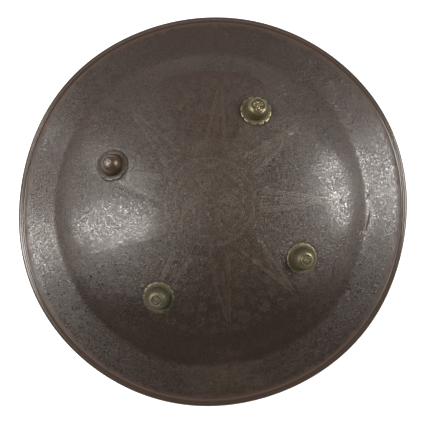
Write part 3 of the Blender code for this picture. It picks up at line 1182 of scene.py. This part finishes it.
def rim_section():
    """Radius, height and dirt from the brim's end over the rolled rim to the inside face."""
    end = float(outer_height(BRIM_END))
    middle = BEAD_HEIGHT - BEAD_RADIUS
    points = [
        (BRIM_END, end, 1.0),
        (BRIM_END + 0.0004, end - 0.00013, 0.8),
        (BRIM_END + 0.0009, end - 0.00018, 1.0),
        (BRIM_END + 0.0013, end + 0.00004, 0.9),
    ]
    # The bead, from its inner side over its top
    for index in range(10):
        angle = math.radians(130 - index * 10.4)
        points.append((
            BEAD_CENTRE + BEAD_RADIUS * math.cos(angle),
            middle + BEAD_RADIUS * math.sin(angle),
            0.3 if index == 0 else 0.0,
        ))
    # The seam, and the lip that turns down from it to the foot
    lip_inner = OUTER_RADIUS - LIP_WIDTH
    points.append((lip_inner, LIP_HEIGHT - LIP_SEAM_DEPTH, 0.35))
    foot = LIP_HEIGHT * 0.30
    for index in range(8):
        angle = math.radians(80 - index * 10)
        points.append((
            lip_inner + LIP_WIDTH * math.cos(angle),
            foot + (LIP_HEIGHT - foot) * math.sin(angle),
            0.15 if index == 0 else 0.0,
        ))
    return points + [
        (OUTER_RADIUS, foot, 0.0),
        (OUTER_RADIUS - LIP_WIDTH * 0.10, LIP_HEIGHT * 0.10, 0.1),
        (OUTER_RADIUS - LIP_WIDTH * 0.40, 0.0, 0.2),
        (FOOT_INNER, 0.0, 0.2),
        (FOOT_INNER - LIP_HEIGHT * 0.12, LIP_HEIGHT * 0.12, 0.2),
        (FOOT_INNER - LIP_HEIGHT * 0.20, LIP_HEIGHT * 0.35, 0.2),
        (BACK_EDGE, float(inner_height(BACK_EDGE)), 0.1),
    ]


def ring_points(radius, count):
    """A ring in plan."""
    return [polar(radius, index / count * math.tau) for index in range(count)]


def mesh_points(mesh):
    """The places of a mesh's points, one to a row."""
    flat = np.zeros(len(mesh.vertices) * 3, dtype=np.float32)
    mesh.vertices.foreach_get("co", flat)
    return flat.reshape(-1, 3).astype(float)


def paint(mesh, key, values):
    """Keep a value for each of a mesh's points, for its material to read."""
    layer = mesh.attributes.new(key, "FLOAT", "POINT")
    layer.data.foreach_set("value", values.astype(np.float32))


class Surface:
    """Gathers points, faces and painted values into one mesh."""

    def __init__(self):
        self.points = []
        self.faces = []
        self.values = {key: [] for key in (*TONES, *FINISHES_AND_SHADING)}
        self.count = 0

    def add(self, points, faces, **values):
        """Add a patch of points (an array) and faces, with values for the points."""
        self.points.append(points)
        self.faces.append(faces + self.count)
        for key, store in self.values.items():
            store.append(np.broadcast_to(values.get(key, 0.0), len(points)))
        self.count += len(points)

    def mesh(self, name):
        """Make the mesh, with coincident points merged."""
        mesh = bpy.data.meshes.new(name)
        mesh.from_pydata(np.vstack(self.points).tolist(), [], np.vstack(self.faces).tolist())
        for key, store in self.values.items():
            paint(mesh, key, np.concatenate(store))
        solid = bmesh.new()
        solid.from_mesh(mesh)
        bmesh.ops.remove_doubles(solid, verts=solid.verts, dist=MERGE_DISTANCE)
        bmesh.ops.dissolve_degenerate(solid, edges=solid.edges, dist=LEAST_EDGE)
        solid.to_mesh(mesh)
        solid.free()
        return mesh


def strip_faces(rings, around):
    """Triangles between successive rings of a turned patch, facing out as the rings run down."""
    index = np.arange(around)
    ahead = (index + 1) % around
    faces = []
    for ring in range(rings - 1):
        upper = ring * around
        lower = (ring + 1) * around
        faces.append(np.stack([upper + index, lower + index, lower + ahead], axis=1))
        faces.append(np.stack([upper + index, lower + ahead, upper + ahead], axis=1))
    return np.vstack(faces)


def turned_points(section, around):
    """Points of a turned patch, ring by ring."""
    turns = np.arange(around) / around * math.tau
    rings = [
        np.stack([radius * np.cos(turns), radius * np.sin(turns), np.full(around, height)], axis=1)
        for radius, height in section
    ]
    return np.vstack(rings)


def front_patch(surface, shield, engraving, work, holes):
    """The outer face: its strokes, its plain ground and the mouths of the shank holes."""
    samples = [sample for stroke in work.strokes for sample in stroke.samples()]
    tree = sample_tree(samples)
    plan = PlanPoints()
    for radius in (BRIM_END, *CREASE_RINGS):
        plan.add_loop(ring_points(radius, shield.facets_round))
    for ring in holes:
        plan.add_loop(ring)
    for stroke in work.strokes:
        plan.add_stroke(stroke)
    rng = random.Random(engraving.seed + 1)
    clear = engraving.line_width * 1.5
    plan.points.extend(plain_points(shield.plain_spacing, BRIM_END, rng, tree, clear))
    flat, corners = plan.triangles()
    corners = corners[outside_holes(flat, corners, holes)]
    depths, tones = cut_depths(flat, samples, tree, engraving.line_depth)
    radius = np.hypot(flat[:, 0], flat[:, 1])
    heights = outer_height(radius) - depths
    surface.add(np.column_stack([flat, heights]), corners, **finish_and_shading_values(flat), **tones)


def rim_patch(surface, around):
    """The rolled rim, from the brim's end round to the inside face."""
    rim = rim_section()
    # The rolled rim is lightened all round: painted light
    surface.add(
        turned_points([(radius, height) for radius, height, _ in rim], around),
        strip_faces(len(rim), around),
        seam=np.repeat([dirt for _, _, dirt in rim], around), dusk=-1.0,
    )


def back_patch(surface, shield, holes):
    """The plain inside face, with the other mouths of the shank holes."""
    plan = PlanPoints()
    plan.add_loop(ring_points(BACK_EDGE, shield.facets_round))
    for ring in holes:
        plan.add_loop(ring)
    rng = random.Random(BACK_SEED)
    plan.points.extend(plain_points(shield.plain_spacing * BACK_SPACING, BACK_EDGE, rng))
    flat, corners = plan.triangles()
    corners = corners[outside_holes(flat, corners, holes)][:, ::-1]
    heights = inner_height(np.hypot(flat[:, 0], flat[:, 1]))
    surface.add(np.column_stack([flat, heights]), corners, dull=1.0)


def hole_walls(surface, fronts, backs):
    """The walls of the shank holes."""
    for upper, lower in zip(fronts, backs):
        rings = []
        for ring, height in ((upper, outer_height), (lower, inner_height)):
            plan = np.array([tuple(point) for point in ring])
            rings.append(np.column_stack([plan, height(np.hypot(plan[:, 0], plan[:, 1]))]))
        surface.add(np.vstack(rings), strip_faces(2, len(upper))[:, ::-1], seam=0.6)


def build_shield(shield, engraving):
    """The engraved shield as one closed mesh."""
    feet = [SPHERE_CENTRE + boss_axis(name) * DOME_SPHERE for name in BOSSES]
    bosses = [Vector((foot.x, foot.y)) - DOME_SHIFT for foot in feet]
    work = engrave_shield(engraving, bosses)
    fronts = [hole_ring(name, inside=False) for name in BOSSES]
    backs = [hole_ring(name, inside=True) for name in BOSSES]
    surface = Surface()
    front_patch(surface, shield, engraving, work, fronts)
    rim_patch(surface, shield.facets_round)
    back_patch(surface, shield, backs)
    hole_walls(surface, fronts, backs)
    surface.points = [
        hammered(out_of_true(patch), shield.hand_waves, shield.wave_scale)
        for patch in surface.points
    ]
    return surface.mesh("shield")


# ---------------------------------------------------------------- the bosses' meshes
# How sharp the flange's notches are, and how much their depths differ
NOTCH_SHARPNESS = 11.0
NOTCH_LEAST = 0.45
NOTCH_MOST = 1.25
# Points of a turned boss this near each other become one, which closes its seam and its poles
CLOSING_DISTANCE = 0.000002


def turning_tree():
    """Geometry nodes that turn a profile about Z and notch its flange unevenly.

    Returns the group and the identifiers of its inputs.
    """
    group = bpy.data.node_groups.new("turned_boss", "GeometryNodeTree")
    sockets = {}
    for name, kind in (
        ("Geometry", "Geometry"), ("Steps Round", "Int"), ("Steps Along", "Int"), ("Lobes", "Int"),
        ("Lobe Depth", "Float"), ("Lobe Start", "Float"), ("Flange Radius", "Float"),
        ("Seed", "Int"), ("Material", "Material"),
    ):
        made = group.interface.new_socket(name, in_out="INPUT", socket_type="NodeSocket" + kind)
        sockets[name] = made.identifier
    group.interface.new_socket("Result", in_out="OUTPUT", socket_type="NodeSocketGeometry")
    bench = Bench(group)
    given = bench.node("NodeGroupInput").outputs
    lobes = Flow(bench, given["Lobes"])

    # A flat grid: across it runs the turn, down it the way along the profile
    grid = bench.node("GeometryNodeMeshGrid", None, {
        "Size X": 1.0, "Size Y": 1.0,
        "Vertices X": given["Steps Round"], "Vertices Y": given["Steps Along"],
    })
    position = bench.node("GeometryNodeInputPosition").outputs[0]
    place = bench.node("ShaderNodeSeparateXYZ", None, {"Vector": position}).outputs
    along = 0.5 - Flow(bench, place["Y"])
    part_turn = Flow(bench, place["X"]) + 0.5
    turn = part_turn * math.tau
    profile = bench.node("GeometryNodeMeshToCurve", None, {"Mesh": given["Geometry"]})
    sample = bench.node("GeometryNodeSampleCurve", {"mode": "FACTOR"}, {
        "Curves": profile.outputs["Curve"], "Factor": along,
    })
    spot = bench.node("ShaderNodeSeparateXYZ", None, {"Vector": sample.outputs["Position"]}).outputs
    radius = Flow(bench, spot["X"])

    # Each notch is drawn in towards the body, the more so the nearer to the flange's edge
    notch = (turn * lobes * 0.5).math("COSINE").math("ABSOLUTE").math("POWER", NOTCH_SHARPNESS)
    uneven = bench.node("FunctionNodeRandomValue", {"data_type": "FLOAT"}, {
        RANDOM_LEAST: NOTCH_LEAST, RANDOM_MOST: NOTCH_MOST, "Seed": given["Seed"],
        "ID": (part_turn * lobes).math("ROUND").math("MODULO", lobes),
    })
    start = Flow(bench, given["Lobe Start"])
    reach = (radius - start) / (Flow(bench, given["Flange Radius"]) - start)
    share = Flow(bench, bench.node("ShaderNodeClamp", None, {"Value": reach}).outputs[0])
    depth = Flow(bench, uneven.outputs[RANDOM_RESULT]) * given["Lobe Depth"]
    drawn = radius - share * share * notch * depth
    spread = bench.node("ShaderNodeCombineXYZ", None, {
        "X": drawn * turn.math("COSINE"), "Y": drawn * turn.math("SINE"), "Z": spot["Z"],
    })
    shaped = bench.node("GeometryNodeSetPosition", None, {
        "Geometry": grid.outputs["Mesh"], "Position": spread.outputs[0],
    })
    closed = bench.node("GeometryNodeMergeByDistance", None, {
        "Geometry": shaped.outputs[0], "Distance": CLOSING_DISTANCE,
    })
    real = bench.node("GeometryNodeRealizeInstances", None, {"Geometry": closed.outputs[0]})
    coloured = bench.node("GeometryNodeSetMaterial", None, {
        "Geometry": real.outputs[0], "Material": given["Material"],
    })
    bench.node("NodeGroupOutput", None, {"Result": coloured.outputs[0]})
    return group, sockets


def rounded(corners, radius, steps=4):
    """Round a polyline's corners: each corner gives way to a short curve."""
    points = [corners[0]]
    for before, corner, after in zip(corners, corners[1:], corners[2:]):
        back = Vector(before) - Vector(corner)
        on = Vector(after) - Vector(corner)
        trim = min(radius, back.length * 0.45, on.length * 0.45)
        start = Vector(corner) + back.normalized() * trim
        end = Vector(corner) + on.normalized() * trim
        for index in range(steps + 1):
            share = index / steps
            curve = start.lerp(Vector(corner), share).lerp(Vector(corner).lerp(end, share), share)
            points.append(tuple(curve))
    points.append(corners[-1])
    return points


def button_section(button_radius, height):
    """A brass boss's button: a sunk engraved disc in a rounded ring."""
    return [
        (0.0, height - 0.0003),
        (button_radius - 0.0017, height - 0.0004),
        (button_radius - 0.0013, height - 0.0009),
        (button_radius - 0.0009, height - 0.0002),
        (button_radius - 0.0004, height),
        (button_radius + 0.0002, height - 0.0005),
        (button_radius + 0.0001, height - 0.0016),
    ]


def knob_section(button_radius, height):
    """The copper boss's top: a low dome with a sunk line round its worn middle."""
    return [
        (0.0, height),
        (button_radius * 0.5, height - 0.0003),
        (button_radius, height - 0.0011),
        (button_radius + 0.0004, height - 0.0016),
        (button_radius + 0.0009, height - 0.0015),
    ]


def boss_profile(boss):
    """A boss's section, from the top of its button down to the end of its clenched shank."""
    copper = boss.metal == "brown_copper"
    top_section = knob_section if copper else button_section
    button = top_section(boss.button_radius, boss.height)
    neck_radius, neck_height = button[-1]
    foot_height = 0.0032
    start = math.asin(neck_radius / BODY_RADIUS) if copper else 0.0
    steps = 10
    bell = []
    for index in range(1, steps + 1):
        angle = start + index / steps * (math.pi / 2 - start)
        width = (math.sin(angle) - math.sin(start)) / (1 - math.sin(start))
        drop = 1 - math.cos(angle) / math.cos(start)
        bell.append((
            neck_radius + (BODY_RADIUS - neck_radius) * width,
            neck_height - (neck_height - foot_height) * drop,
        ))
    hug = FIT_GAP - FLANGE_RADIUS ** 2 / (2 * DOME_SPHERE)
    flange = [
        (BODY_RADIUS + 0.0001, 0.0021),
        (BODY_RADIUS + 0.0005, 0.0016),
        (BODY_RADIUS + 0.0020, 0.0019),
        (BODY_RADIUS + 0.0026, 0.0015),
        (BODY_RADIUS + 0.0031, 0.0018),
        (FLANGE_RADIUS - 0.0009, 0.0014),
        (FLANGE_RADIUS, hug + 0.0010),
        (FLANGE_RADIUS, hug),
        (SHANK_RADIUS, FIT_GAP),
    ]
    back = -SHEET - FIT_GAP
    shank = [
        (SHANK_RADIUS, back),
        (0.0052, back),
        (0.0050, back - 0.0008),
        (0.0036, back - 0.0015),
        (0.0, back - 0.0018),
    ]
    return rounded(button + bell + flange + shank, radius=0.0003)


def profile_object(name, section):
    """A polyline object in the X Z plane."""
    mesh = bpy.data.meshes.new(name)
    points = [(radius, 0.0, height) for radius, height in section]
    mesh.from_pydata(points, [(i, i + 1) for i in range(len(points) - 1)], [])
    item = bpy.data.objects.new(name, mesh)
    bpy.context.scene.collection.objects.link(item)
    return item


def turn_boss(name, tree, settings, number, material):
    """Run the node tree on a boss's profile and keep its result as a plain mesh."""
    boss = BOSSES[name]
    group, sockets = tree
    item = profile_object(name + "_profile", boss_profile(boss))
    modifier = item.modifiers.new("turn", "NODES")
    modifier.node_group = group
    values = {
        "Steps Round": settings.steps_round + 1, "Steps Along": settings.steps_along + 1,
        "Lobes": boss.lobes, "Lobe Depth": boss.notch_depth, "Seed": settings.seed + number,
        "Lobe Start": BODY_RADIUS + 0.001, "Flange Radius": FLANGE_RADIUS, "Material": material,
    }
    for key, value in values.items():
        modifier[sockets[key]] = value
    bpy.context.view_layer.update()
    graph = bpy.context.evaluated_depsgraph_get()
    mesh = bpy.data.meshes.new_from_object(item.evaluated_get(graph))
    mesh.name = name + "_chased"
    bpy.data.objects.remove(item, do_unlink=True)
    return mesh


def curls_relief(x, y, reach, rng):
    """Curls on a button: how high they stand at each place, 0 to 1."""
    relief = np.zeros(len(x))
    first = rng.uniform(0.0, math.tau)
    for number in range(3):
        start = first + number * math.tau / 3
        centre_x = reach * 0.50 * math.cos(start)
        centre_y = reach * 0.50 * math.sin(start)
        away = np.hypot(x - centre_x, y - centre_y)
        swirl = np.arctan2(y - centre_y, x - centre_x) + start
        coil = 0.5 + 0.5 * np.cos(away / (reach * 0.40) * math.tau - swirl)
        inside = np.clip(4.6 - away / (reach * 0.13), 0.0, 1.0)
        relief = np.maximum(relief, np.clip(coil * 2.0 - 0.8, 0.0, 1.0) * inside)
    return relief


# Depths of the curls on a button, of the chasing on a flange and of the grooves down a bell
CURL_DEPTH = 0.00050
CHASE_DEPTH = 0.00020
GROOVE_DEPTH = 0.00022
# The deepest notch that a flange has
DEEPEST_NOTCH = max(boss.notch_depth for boss in BOSSES.values())
CURL_SEED = 100


def chase_boss(mesh, boss, settings, number):
    """Chase the flange and the button, and paint dirt, wear and the flange's duller metal.

    Painted shade darkens the ring where the bell meets the flange, the bell's lower part and each
    boss as a whole.
    """
    button_radius = boss.button_radius
    height = boss.height
    copper = boss.metal == "brown_copper"
    points = mesh_points(mesh)
    x, y, z = points.T
    radius = np.hypot(x, y)
    turn = np.arctan2(y, x)

    # Where things are
    front = z > 0.0005
    flange = front & (radius > BODY_RADIUS + 0.0003) & (z < BELL_FOOT)
    lobed = front & (radius > BODY_RADIUS + 0.0033)
    edge = front & (radius > FLANGE_RADIUS - 0.0013)
    bell = (z > BELL_FOOT) & (z < height - 0.0022)
    face_reach = button_radius if copper else button_radius - 0.0016
    face = (z > height - 0.0020) & (radius < face_reach)

    # How much is cut there, 0 to 1, and the cutting itself
    bite = boss.notch_depth / DEEPEST_NOTCH
    notches = np.abs(np.cos(turn * boss.lobes / 2)) ** 9 * bite
    grooves = np.abs(np.cos(turn * settings.grooves / 2)) ** 2 * (0.0 if copper else 1.0)
    line = bump_of(radius - BODY_RADIUS - 0.0026, 0.0005)
    # Painted shade: a dark ring where the bell meets the flange, and the bell darker towards its foot
    foot = bump_of(radius - BODY_RADIUS - 0.0002, 0.0011)
    skirt_shade = np.clip((0.0075 - z) / 0.0045, 0.0, 1.0)
    curls = curls_relief(x, y, face_reach, random.Random(CURL_SEED + number))
    points[:, 2] += np.where(face, CURL_DEPTH * (curls - 1.0), 0.0)
    points[:, 2] -= np.where(flange, CHASE_DEPTH * grooves, 0.0)
    points[:, :2] *= 1 - np.where(bell, GROOVE_DEPTH * grooves / np.maximum(radius, 0.001), 0.0)[:, None]

    # Dirt in the grooves, notches and the button's ground; painted shade at and above the bell's foot
    hollow = np.zeros(len(points))
    for where, depth in (
        (flange, np.maximum(np.maximum(line * 0.8, foot), grooves * 0.5)),
        (bell, np.maximum(grooves * 0.9, skirt_shade * 0.95)),
        (lobed, notches),
        (face, 0.85 * (1 - curls)),
    ):
        hollow = np.maximum(hollow, np.where(where, depth, 0.0))
    # Painted shade over each boss as a whole
    hollow = hollow + boss.grime * front * np.where(radius < BODY_RADIUS, 1.0, 0.7)

    ragged = 0.35 + 0.65 * np.abs(np.sin(turn * 1.5 + number * 1.3))
    worn = np.where(edge, (1 - notches) * (0.12 + 0.22 * bite) * ragged, 0.0)
    if copper:
        ring = bump_of(radius - button_radius - 0.0004, 0.0005) * (z > height - 0.004)
        circle = bump_of(radius - 0.0032, 0.0011) + bump_of(radius, 0.0016)
        worn = np.maximum(worn, np.where(face, np.clip(circle, 0.0, 0.6), 0.0))
        hollow = np.where(face, hollow * (1 - worn), hollow)
    else:
        ring = bump_of(radius - button_radius + 0.0013, 0.0007) * (z > height - 0.0015)
        rim = bump_of(radius - button_radius + 0.0002, 0.0005) * (z > height - 0.0012)
        worn = np.maximum(worn, rim * 0.45 * ragged)
        worn = np.maximum(worn, np.where(face, curls * 0.8, 0.0))
    hollow = np.maximum(hollow, ring)

    mesh.vertices.foreach_set("co", points.astype(np.float32).ravel())
    paint(mesh, "hollow", hollow)
    paint(mesh, "worn", worn)
    paint(mesh, "flange", flange)
    mesh.update()


# ---------------------------------------------------------------- pieces, lights and camera
# How sharply two faces must meet, in degrees, for their edge to be drawn crisp
SHIELD_CREASE = 5
BOSS_CREASE = 50


def keep_folds_smooth(mesh):
    """Shade the crease and the rolled rim smooth: only the graver's cuts have crisp edges."""
    points = mesh_points(mesh)
    ends = np.zeros(len(mesh.edges) * 2, dtype=int)
    mesh.edges.foreach_get("vertices", ends)
    radius = np.hypot(points[:, 0], points[:, 1])[ends.reshape(-1, 2)]
    sharp = np.zeros(len(mesh.edges), dtype=bool)
    mesh.attributes["sharp_edge"].data.foreach_get("value", sharp)
    field = radius.max(axis=1) < FIELD_RING + 0.003
    brim = (radius.min(axis=1) > BRIM_START + 0.004) & (radius.max(axis=1) < BRIM_END * 0.985)
    sharp &= field | brim
    mesh.attributes["sharp_edge"].data.foreach_set("value", sharp)


def add_piece(name, mesh, material, sharp_degrees):
    """Put a finished mesh in the scene, shaded smooth up to its creases."""
    mesh.materials.clear()
    mesh.materials.append(material)
    mesh.shade_smooth()
    mesh.set_sharp_from_angle(angle=math.radians(sharp_degrees))
    piece = bpy.data.objects.new(name, mesh)
    bpy.context.scene.collection.objects.link(piece)
    return piece


def aim(direction, rise):
    """Unit vector towards a direction in plan and a rise above the floor."""
    level = math.cos(rise)
    return Vector((level * math.cos(direction), level * math.sin(direction), math.sin(rise)))


def add_soft_box(name, place, width, height, power):
    """An oval soft light that looks at the shield."""
    light = bpy.data.lights.new(name, "AREA")
    light.shape = "ELLIPSE"
    light.size = width
    light.size_y = height
    light.energy = power
    light.color = LIGHT_COLOUR
    item = bpy.data.objects.new(name, light)
    item.location = place
    item.rotation_euler = (LIT_PLACE - place).to_track_quat("-Z", "Y").to_euler()
    bpy.context.scene.collection.objects.link(item)


class DHAL_OT_shield(bpy.types.Operator):
    """Make the engraved shield and put it in place of its plain solid"""

    bl_idname = "dhal.shield"
    bl_label = "Engraved shield"

    def execute(self, context):
        scene = context.scene
        mesh = build_shield(scene.dhal_shield, scene.dhal_engraving)
        shield = add_piece("engraved_shield", mesh, iron_material(scene.dhal_finish), SHIELD_CREASE)
        keep_folds_smooth(mesh)
        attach(shield, "root")
        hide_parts("shield_body")
        return {"FINISHED"}


class DHAL_OT_bosses(bpy.types.Operator):
    """Make the four bosses and put them in place of their plain solids"""

    bl_idname = "dhal.bosses"
    bl_label = "Bosses"

    def execute(self, context):
        scene = context.scene
        colours = scene.dhal_finish
        metals = {
            "aged_brass": boss_material(
                "aged_brass", metal=colours.brass, dirt=colours.brass_dirt_and_shade,
                flange=rgba(colours.brass, 1.10), edges=rgba(colours.brass, 2.3),
                metallic=0.80, roughness=0.35),
            "brown_copper": boss_material(
                "brown_copper", metal=colours.copper, dirt=colours.copper_dirt_and_shade,
                flange=rgba(colours.copper_flange), edges=rgba(colours.iron_bare),
                metallic=0.35, roughness=0.30),
        }
        tree = turning_tree()
        for number, (name, boss) in enumerate(BOSSES.items()):
            material = metals[boss.metal]
            mesh = turn_boss(name, tree, scene.dhal_bosses, number, material)
            chase_boss(mesh, boss, scene.dhal_bosses, number)
            mesh.transform(boss_frame(boss_axis(name)))
            piece = add_piece(name + "_chased", mesh, material, BOSS_CREASE)
            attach(piece, "root")
            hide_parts(name)
        return {"FINISHED"}


class DHAL_OT_stage(bpy.types.Operator):
    """Make the pale floor, the soft lights and the camera"""

    bl_idname = "dhal.stage"
    bl_label = "Floor, lights and camera"

    def execute(self, context):
        scene = context.scene
        studio = scene.dhal_studio
        self.add_floor(scene)
        self.add_lights(scene, studio)
        self.add_camera(scene, studio)
        return {"FINISHED"}

    @staticmethod
    def add_floor(scene):
        """A wide flat floor under the rim."""
        mesh = bpy.data.meshes.new("floor")
        half = FLOOR_REACH
        corners = [(-half, -half, 0.0), (half, -half, 0.0), (half, half, 0.0), (-half, half, 0.0)]
        mesh.from_pydata(corners, [], [(0, 1, 2, 3)])
        mesh.materials.append(floor_material(scene.dhal_finish.floor, scene.dhal_studio.floor_glow))
        floor = bpy.data.objects.new("floor", mesh)
        scene.collection.objects.link(floor)
        floor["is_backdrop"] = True

    @staticmethod
    def add_lights(scene, studio):
        """The soft boxes and the even light from all round."""
        for name, (direction, rise, width, height) in SOFT_BOXES.items():
            place = LIT_PLACE + aim(math.radians(direction), math.radians(rise)) * LIGHT_DISTANCE
            add_soft_box(name, place, width, height, getattr(studio, name))
        world = bpy.data.worlds.new("studio")
        world.use_nodes = True
        background = world.node_tree.nodes["Background"]
        background.inputs["Color"].default_value = WHITE
        background.inputs["Strength"].default_value = studio.ambient
        scene.world = world
        scene.view_settings.view_transform = "Standard"

    @staticmethod
    def add_camera(scene, studio):
        """The camera, looking down on the shield."""
        lens = bpy.data.cameras.new("camera")
        lens.sensor_width = SENSOR_WIDTH
        lens.lens = studio.focal
        lens.shift_x, lens.shift_y = LENS_SHIFT
        camera = bpy.data.objects.new("camera", lens)
        away = Vector((0.0, -math.cos(studio.elevation), math.sin(studio.elevation)))
        camera.location = away * studio.distance
        camera.rotation_euler = away.to_track_quat("Z", "Y").to_euler()
        scene.collection.objects.link(camera)
        scene.camera = camera


class DHAL_PT_panel(bpy.types.Panel):
    """The dhal's pieces and settings"""

    bl_idname = "DHAL_PT_panel"
    bl_label = "Dhal"
    bl_space_type = "VIEW_3D"
    bl_region_type = "UI"
    bl_category = "Dhal"

    def draw(self, context):
        for operator in OPERATORS:
            self.layout.operator(operator.bl_idname)
        for name, group in SETTINGS.items():
            box = self.layout.box()
            box.label(text=group.__doc__)
            for key in group.__annotations__:
                box.prop(getattr(context.scene, name), key)


OPERATORS = (DHAL_OT_shield, DHAL_OT_bosses, DHAL_OT_stage)


def register():
    """Register the classes and hang the settings on the scene."""
    for item in (*SETTINGS.values(), *OPERATORS, DHAL_PT_panel):
        bpy.utils.register_class(item)
    for name, group in SETTINGS.items():
        setattr(bpy.types.Scene, name, PointerProperty(type=group))


def unregister():
    """Undo register."""
    for name in SETTINGS:
        delattr(bpy.types.Scene, name)
    for item in (DHAL_PT_panel, *OPERATORS, *SETTINGS.values()):
        bpy.utils.unregister_class(item)


def plain(box):
    """A box as plain lists of numbers."""
    return [[float(value) for value in corner] for corner in box]


def main():
    """Make every piece, and gather the sizes of the solids and of the finished model."""
    register()
    bpy.ops.dhal.stage()
    bpy.ops.dhal.shield()
    bpy.ops.dhal.bosses()
    {"cad": plain(CAD_BOX), "visual": plain(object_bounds())}


if __name__ == "__main__":
    main()
